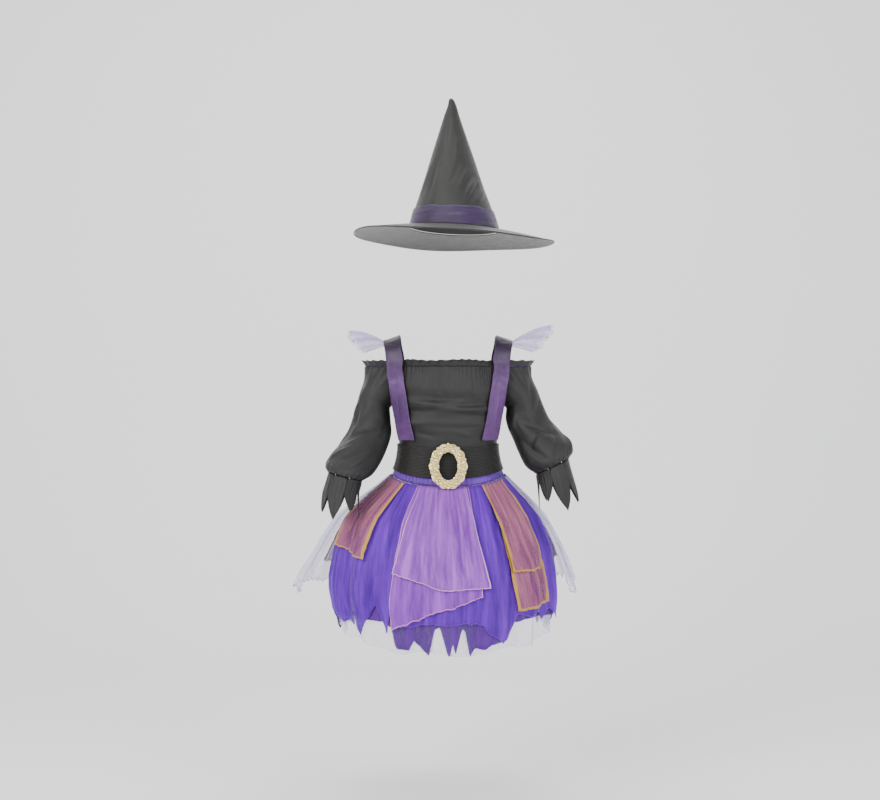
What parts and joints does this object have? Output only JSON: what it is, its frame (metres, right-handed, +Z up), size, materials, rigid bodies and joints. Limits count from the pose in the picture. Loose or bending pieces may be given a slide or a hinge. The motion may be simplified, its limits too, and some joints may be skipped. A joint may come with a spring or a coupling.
{
  "type": "witch costume (hat and dress)",
  "caption": "Pointed wide-brimmed hat, off-shoulder dress with straps, petal cuffs, layered tulle skirt, wide belt with wreath buckle.",
  "frame": {"origin": "midpoint between the tops of the two shoulder straps, where the shoulders carry the dress", "axes": "+Z up along the costume's height, -Y towards the front, +X towards the viewer's right"},
  "size_m": [0.5542, 0.4289, 1.0859],
  "materials": {
    "hat_satin": "black satin, soft sheen",
    "band_satin": "deep purple satin",
    "black_cloth": "black satin-faced knit",
    "purple_satin": "purple satin",
    "white_tulle": "sheer white tulle",
    "belt_elastic": "ribbed black elastic",
    "buckle_gold": "pale gold, bumpy",
    "violet_tulle": "violet tulle",
    "dark_violet_tulle": "dark violet tulle",
    "lilac_tulle": "lilac tulle",
    "gold_tulle": "gold and mauve tulle"
  },
  "bodies": {
    "root": {"hat_crown": "hat_satin", "hat_brim": "hat_satin", "hat_brim_edge": "hat_satin", "hat_band": "band_satin", "bodice_front": "black_cloth", "bodice_back": "black_cloth", "neck_ruffle_front": "black_cloth", "neck_ruffle_back": "black_cloth", "sleeve_left": "black_cloth", "sleeve_right": "black_cloth", "sleeve_ruffle_left": "black_cloth", "sleeve_ruffle_right": "black_cloth", "cuff_left": "black_cloth", "cuff_right": "black_cloth", "strap_left": "purple_satin", "strap_right": "purple_satin", "shoulder_frill_left": "white_tulle", "shoulder_frill_right": "white_tulle", "belt": "belt_elastic", "belt_buckle": "buckle_gold", "skirt_waistband": "violet_tulle", "petticoat_front": "white_tulle", "petticoat_back": "white_tulle", "skirt_points_front": "dark_violet_tulle", "skirt_points_back": "dark_violet_tulle", "skirt_violet_front": "violet_tulle", "skirt_violet_back": "violet_tulle", "skirt_wing_left": "white_tulle", "skirt_wing_right": "white_tulle", "skirt_lilac_lower": "lilac_tulle", "skirt_lilac_upper": "lilac_tulle", "skirt_lilac_back": "lilac_tulle", "skirt_gold_left": "gold_tulle", "skirt_gold_right": "gold_tulle", "skirt_gold_lower": "gold_tulle", "skirt_gold_back_left": "gold_tulle", "skirt_gold_back_right": "gold_tulle"}
  },
  "joints": []
}
